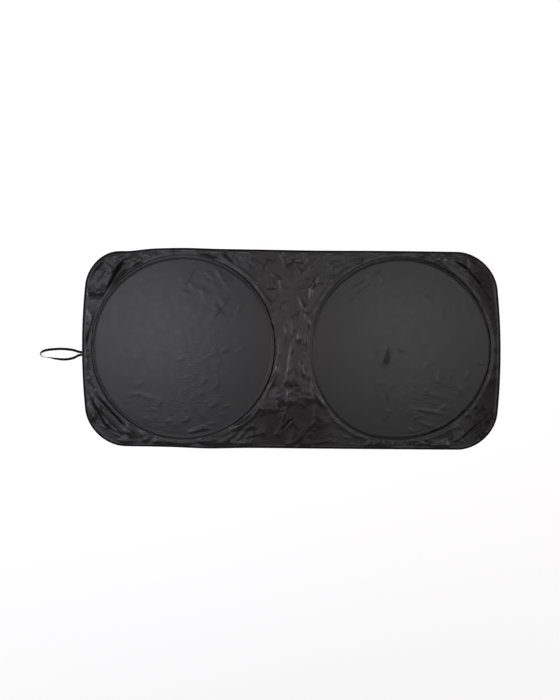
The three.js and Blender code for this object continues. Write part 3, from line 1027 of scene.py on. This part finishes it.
def disc_mark():
    """The small dark mark on the right disc: a wedge that widens downwards, with a faint patch
    under it and another on its left."""
    wedge_top = 14 * mm
    wedge_length = 44 * mm
    wedge_half = 9 * np.clip((wedge_top - plan_y) / wedge_length, 0.2, 1)
    off_line = beside_line(plan_x, plan_y, (338, 10), (328, -44))[1]
    mark = 0.42 * smooth(2 * (1.3 - off_line / wedge_half))
    mark += 0.22 * near(325, -58, 20)
    return mark + 0.3 * near(298, -10, 9)


def make_panel():
    """The cloth: one sheet, taut in the hoops, slack and creased around them."""
    broad = (1 - between_hoops) * facets(38 * mm, 1, 5) + between_hoops * facets(26 * mm, 2.2, 9)
    small = facets(13 * mm, 1.2, 17)
    patchy = 0.25 + 0.75 * smooth(0.5 + 2 * noise_over(80 * mm, 4.4))
    lift = 1.7 * mm
    start_facets = 2.0 * mm
    start_folds = 0.7 * folded_height(plan_x, plan_y, big_folds)
    start = np.maximum(rim_height + slack * (lift + start_facets * broad + start_folds), 0)
    points = simulate_slack(start)
    x, y = points[:, :, 0], points[:, :, 1]
    crisp = folded_height(x, y, big_folds + slack_creases) + (1.7 + 2.4 * dull_and_shaded) * mm * broad
    crisp += 1.5 * mm * small * np.maximum(narrow, 0.6 * patchy)
    faint = folded_height(x, y, disc_creases + pleats + disc_crinkles)
    inner = smooth(-(hoop_distance + casing_half) / (6 * mm))
    height = points[:, :, 2] + slack * crisp + inner * faint
    # Painted shade: fold valleys, creases and the zone turned from the light are darkened towards matt
    # near-black. The small dark mark on the right disc is added to the same mix.
    painted_shade = slack * np.maximum(painted_valley_shade(x, y, big_folds, 2.6 * mm, 0.95), 0.53 * dull_and_shaded)
    painted_shade = np.maximum(painted_shade, slack * painted_valley_shade(x, y, slack_creases, 1.8 * mm, 0.55))
    painted_shade = np.maximum(painted_shade, inner * painted_valley_shade(x, y, disc_creases, 1.0 * mm, 0.5))
    painted_shade = np.clip(painted_shade + disc_mark(), 0, 1)
    points[:, :, 2] = np.maximum(height, 0) + floor_clearance + cloth_thickness
    panel = make_mesh("cloth_panel", points, grid_faces(rows + 1, columns + 1).tolist())
    add_value(panel, "slack", slack)
    add_value(panel, "dull_and_shaded", dull_and_shaded)
    add_value(panel, "brown", np.maximum(dull_and_shaded, 0.8 * between_hoops))
    add_value(panel, "painted_shade", painted_shade)
    add_value(panel, "rippled", disc_spots)
    panel.data.materials.append(satin_cloth())
    panel.data.materials.append(silver_cloth())
    solid = panel.modifiers.new("thickness", "SOLIDIFY")
    solid.thickness = cloth_thickness
    solid.offset = -1
    solid.material_offset = 1
    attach(panel, "root")
    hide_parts("shade_panel")
    return panel


cloth_panel = make_panel()


# Tapes


def sweep(name, line, stations, section):
    """A closed ring. The section gives its points, out and up, for lengths along the line."""
    along = np.linspace(0, line.length, stations, endpoint=False)
    out, up = section(along)
    x, y = line.offset(along[:, None] + 0 * out, out)
    points = np.stack([x, y, up], axis=2)
    count = out.shape[1]
    faces = grid_faces(stations, count, wrap_down=True, wrap_across=True)
    ring = make_mesh(name, points, faces.tolist())
    add_value(ring, "along", np.repeat(along, count))
    return ring


def wander(along, length, size, seed, octaves=2):
    """A slow, closed, seeded wander along a ring, from about -1 to 1."""
    angle = 2 * math.pi * along / length
    radius = length / (2 * math.pi * size)
    spots = [(radius * math.cos(a), radius * math.sin(a), seed) for a in angle]
    return np.array([noise.fractal(spot, 1, 2, octaves) for spot in spots])


def make_binding():
    """A tape folded round the edge, pressed in where its seam runs and slightly wavy."""
    line = outline()
    low = floor_clearance
    slot_low = edge_height - touch + floor_clearance
    slot_high = slot_low + cloth_thickness + 2 * touch
    top = slot_high + tape_thickness
    middle = (low + top) / 2
    fold = (top - low) / 2
    dent = 0.14 * mm
    section = [(-binding_width, low), (binding_seam, low + touch), (-fold, low)]
    section += [
        (-fold + fold * math.cos(turn * degree), middle + fold * math.sin(turn * degree))
        for turn in (-60, -30, 0, 30, 60)
    ]
    section += [
        (-fold, top),
        (-fold - 1 * mm, top + dent),
        (binding_seam + 1.2 * mm, top + dent),
        (binding_seam, top - dent / 2),
        (binding_seam - 0.8 * mm, top),
        (-binding_width, top - touch),
        (-binding_width, slot_high),
        (-tape_thickness, slot_high),
        (-tape_thickness, slot_low),
        (-binding_width, slot_low),
    ]
    across, up = np.array(section).T[:, None]

    def shape(along):
        width = 0.35 * mm * wander(along, line.length, 22 * mm, 1.3)
        swell = 0.25 * mm * np.abs(wander(along, line.length, 9 * mm, 8.1))
        inner = across < binding_seam + touch
        raised = up > slot_high + touch
        return across - width[:, None] * inner, up + swell[:, None] * raised

    stations = 1040
    binding = sweep("edge_tape", line, stations, shape)
    binding.data.materials.append(binding_tape())
    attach(binding, "root")
    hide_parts("edge_binding")
    return line, binding, top


def casing_section():
    """The casing's section: flanges on the cloth, and a dome over the strip with a tunnel."""
    foot = floor_clearance + cloth_thickness + touch
    flange = foot + tape_thickness
    crown = tunnel_top + 0.5 * mm
    outer = [
        (casing_half, foot),
        (casing_half, flange),
        (casing_half - 1.4 * mm, flange - 0.1 * mm),
        (casing_half - 2.6 * mm, flange + 0.1 * mm),
        (5.2 * mm, flange + 0.3 * mm),
        (4.3 * mm, flange + 1.0 * mm),
        (3.4 * mm, flange + 2.5 * mm),
        (2.8 * mm, crown - 1.1 * mm),
        (1.9 * mm, crown - 0.3 * mm),
        (0.8 * mm, crown),
    ]
    inner = [
        (0.7 * mm, tunnel_top),
        (tunnel_half - 0.5 * mm, tunnel_top - 0.4 * mm),
        (tunnel_half + 0.1 * mm, tunnel_top - 1.4 * mm),
        (2.9 * mm, flange + 1.4 * mm),
        (3.9 * mm, foot + 0.3 * mm),
        (4.6 * mm, foot),
    ]
    left_outer = [(-x, z) for x, z in reversed(outer)]
    left_inner = [(-x, z) for x, z in inner]
    return np.array(outer + left_outer + left_inner[::-1] + inner)


casing_stations = 720

# The painted shade line that runs along each casing, a little outside the strip: how far outside, how
# # many times it darkens round the hoop, and where it is darkest. Where it is faint, the tape over
# # the strip is painted paler by the given share, as painted light.
casing_lines = {
    "left": (3.6 * mm, 2, 8 * degree, 0.75),
    "right": (0.6 * mm, 1, -15 * degree, 0.12),
}


def upper_share(line, along, hoop):
    """1 along the upper part of a hoop, where its casing leans over and shows as a band."""
    x, y = line.points(along)
    return rise_from(0.55, 0.35, (y - hoop.y) / hoop.radius)


def make_casing(hoop):
    """The tape over one strip, puckered by its seams, with its ends lapped at the joint."""
    line = hoop.line()
    across, up = casing_section().T[:, None]
    crown = up.max()
    dome_half = 5.2 * mm
    crown_half = 2 * mm
    lap_half = 9 * mm
    broader = 0.62
    foot_top = 0.8 * mm
    flange_line = 1.4 * mm
    seed = 2.1 if hoop.side == "left" else 6.4

    def shape(along):
        lean = 0.5 * mm * wander(along, line.length, 60 * mm, seed)[:, None]
        pucker = 0.35 * mm * wander(along, line.length, 7 * mm, seed + 3, 3)[:, None]
        edge = 0.6 * mm * wander(along, line.length, 16 * mm, seed + 5)[:, None]
        lap = (np.minimum(along, line.length - along) < lap_half)[:, None]
        on_flank = (np.abs(across) > crown_half) & (np.abs(across) <= dome_half)
        flat_band = upper_share(line, along, hoop)[:, None]
        out = across * (1 + broader * flat_band * on_flank)
        upper = up > foot_top
        flange = upper & (up < flange_line)
        rim = np.abs(out) > casing_half - 0.1 * mm
        moved = out + lean * up / crown + np.sign(out) * edge * rim
        return moved, up + np.maximum(pucker, 0) * flange + 0.25 * mm * lap * upper

    casing = sweep(f"{hoop.side}_casing_tape", line, casing_stations, shape)
    along = np.linspace(0, line.length, casing_stations, endpoint=False)
    flat_band = upper_share(line, along, hoop)[:, None]
    middle_place, dark_sides, dark_angle, painted_light_share = casing_lines[hoop.side]
    turn = along / line.length * 2 * math.pi + hoop.joint
    darkness = 0.5 + 0.4 * np.cos(dark_sides * (turn - dark_angle))
    # Painted light: the dome is painted paler where the painted shade line is faint.
    painted_light = painted_light_share * (1 - darkness)
    darkness *= 1 + 0.5 * wander(along, line.length, 24 * mm, seed + 7)
    line_half = 2.4 * mm
    line_place = middle_place + 1.3 * mm * wander(along, line.length, 40 * mm, seed + 8)
    near_line = np.abs(across - line_place[:, None]) < line_half
    on_dome = np.abs(across) <= dome_half
    # Painted shade: a near-black line beside the strip, stronger at some turns of the hoop, and a faint
    # painted shade over the dome along the hoop's upper part.
    painted_shade = np.clip(darkness, 0, 1)[:, None] * near_line
    add_value(casing, "painted_shade", np.maximum(painted_shade, 0.12 * flat_band * on_dome))
    add_value(casing, "painted_light", painted_light[:, None] * on_dome)
    casing.data.materials.append(casing_finish)
    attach(casing, "root")
    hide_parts(f"{hoop.side}_hoop_casing")
    return line, casing


def make_stitches(name, line, offset, height):
    """A row of lock stitches beside a line. Each is a short thread, thick in the middle."""
    pitch = 3.4 * mm
    thread = 0.32 * mm
    half = pitch * 0.38
    thick_half = half * 0.6
    count = int(line.length / pitch)
    start = np.arange(count) * line.length / count
    spots = [(-half, 0, -0.5)]
    for step in (-thick_half, thick_half):
        spots += [(step, 1, 0), (step, 0, 1), (step, -1, 0), (step, 0, -1)]
    spots.append((half, 0, -0.5))
    points = np.empty((count, len(spots), 3))
    for slot, (step, side, rise) in enumerate(spots):
        x, y = line.offset(start + step, offset + side * thread)
        points[:, slot] = np.stack([x, y, np.full(count, height + rise * thread)], axis=1)
    faces = []
    for k in range(4):
        n = (k + 1) % 4
        faces.append((0, 1 + n, 1 + k))
        faces.append((1 + k, 1 + n, 5 + n))
        faces.append((1 + k, 5 + n, 5 + k))
        faces.append((5 + k, 5 + n, 9))
    faces = np.array(faces)[None] + len(spots) * np.arange(count)[:, None, None]
    stitches = make_mesh(name, points, faces.reshape(-1, 3).tolist())
    stitches.data.materials.append(thread_finish)
    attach(stitches, "root")


thread_finish = sewing_thread()
casing_finish = casing_tape()
outline_line, edge_tape, binding_top = make_binding()
make_stitches("binding_stitches", outline_line, binding_seam, binding_top)
flange_top = floor_clearance + cloth_thickness + touch + tape_thickness
seam_place = casing_half - 1.4 * mm
for hoop in hoops:
    hoop_line, casing = make_casing(hoop)
    make_stitches(f"{hoop.side}_outer_stitches", hoop_line, seam_place, flange_top)
    make_stitches(f"{hoop.side}_inner_stitches", hoop_line, -seam_place, flange_top)


# Steel

steel_finish = rolled_steel()
crimp_finish = crimped_steel()
for hoop in hoops:
    for piece, finish in (("hoop", steel_finish), ("hoop_sleeve", crimp_finish)):
        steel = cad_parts[f"{hoop.side}_{piece}"]
        steel.data.materials.clear()
        steel.data.materials.append(finish)


# Floor, light and view


def white_floor():
    """Pale with a soft shadow near the shade, and a plain white backdrop far away."""
    finish = Finish("floor")
    glow = 0.46
    rays = ("Is Camera Ray", "Is Glossy Ray", "Is Transmission Ray")
    camera, glossy, through = (finish.node("ShaderNodeLightPath", output=ray) for ray in rays)
    shown = finish.maths("MAXIMUM", finish.maths("MAXIMUM", camera, glossy), through)
    sockets = {
        "Base Color": (0.86, 0.86, 0.86, 1),
        "Roughness": 0.9,
        "Specular IOR Level": 0.1,
        "Emission Color": (1, 1, 1, 1),
        "Emission Strength": glow * shown,
    }
    pale = finish.node("ShaderNodeBsdfPrincipled", inputs=sockets)
    white = finish.node("ShaderNodeEmission", inputs={"Strength": shown})
    place = finish.node("ShaderNodeNewGeometry", output="Position")
    away = finish.node("ShaderNodeVectorMath", {"operation": "LENGTH"}, {0: place}, "Value")
    limits = {"Value": away, "From Min": 1, "From Max": 2.4}
    far = finish.node("ShaderNodeMapRange", {"interpolation_type": "SMOOTHSTEP"}, limits)
    return finish.done(finish.node("ShaderNodeMixShader", inputs={0: far, 1: pale, 2: white}))


def make_floor():
    """A wide floor with a wall on each side, far away."""
    reach = 30
    wall_height = 12
    points = level_square(reach, 0) + level_square(reach, wall_height)
    walls = [(i, (i + 1) % 4, (i + 1) % 4 + 4, i + 4) for i in range(4)]
    floor = make_mesh("floor", points, [(0, 1, 2, 3)] + walls)
    floor.data.materials.append(white_floor())


def add_lamp(name, place, aim, width, depth, power, colour):
    """A flat lamp of the given size, turned to what it aims at. The camera doesn't see it."""
    data = bpy.data.lights.new(name, "AREA")
    data.shape = "RECTANGLE"
    data.size = width
    data.size_y = depth
    data.energy = power
    data.color = colour
    lamp = link(bpy.data.objects.new(name, data))
    lamp.location = place
    direction = Vector(aim) - Vector(place)
    lamp.rotation_euler = direction.to_track_quat("-Z", "Y").to_euler()
    lamp.visible_camera = False


def light_scene():
    """Two soft lamps above, three larger ones at the sides and the top, and a dim surround."""
    bluish = (0.955, 0.945, 1.0)
    warmish = (1.0, 0.96, 0.965)
    surround_strength = 0.12
    add_lamp("left_lamp", (-0.98, 0.18, 4.0), (-0.48, 0.08, 0), 0.6, 0.6, 16, bluish)
    add_lamp("right_lamp", (0.84, 0.18, 4.0), (0.36, 0.08, 0), 0.6, 0.6, 11, warmish)
    add_lamp("left_side_lamp", (-2.9, 0.3, 3.2), (-0.2, 0, 0), 0.8, 1.4, 48, bluish)
    add_lamp("right_side_lamp", (2.9, 0.3, 3.2), (-0.2, 0, 0), 0.8, 1.4, 36, warmish)
    add_lamp("top_side_lamp", (-0.3, 2.9, 3.2), (-0.3, 0, 0), 1.8, 0.9, 30, warmish)
    world = bpy.data.worlds.new("surround")
    world.use_nodes = True
    background = world.node_tree.nodes["Background"]
    background.inputs["Color"].default_value = (1, 1, 1, 1)
    background.inputs["Strength"].default_value = surround_strength
    bpy.context.scene.world = world


make_floor()
light_scene()
bpy.context.scene.view_settings.view_transform = "Standard"
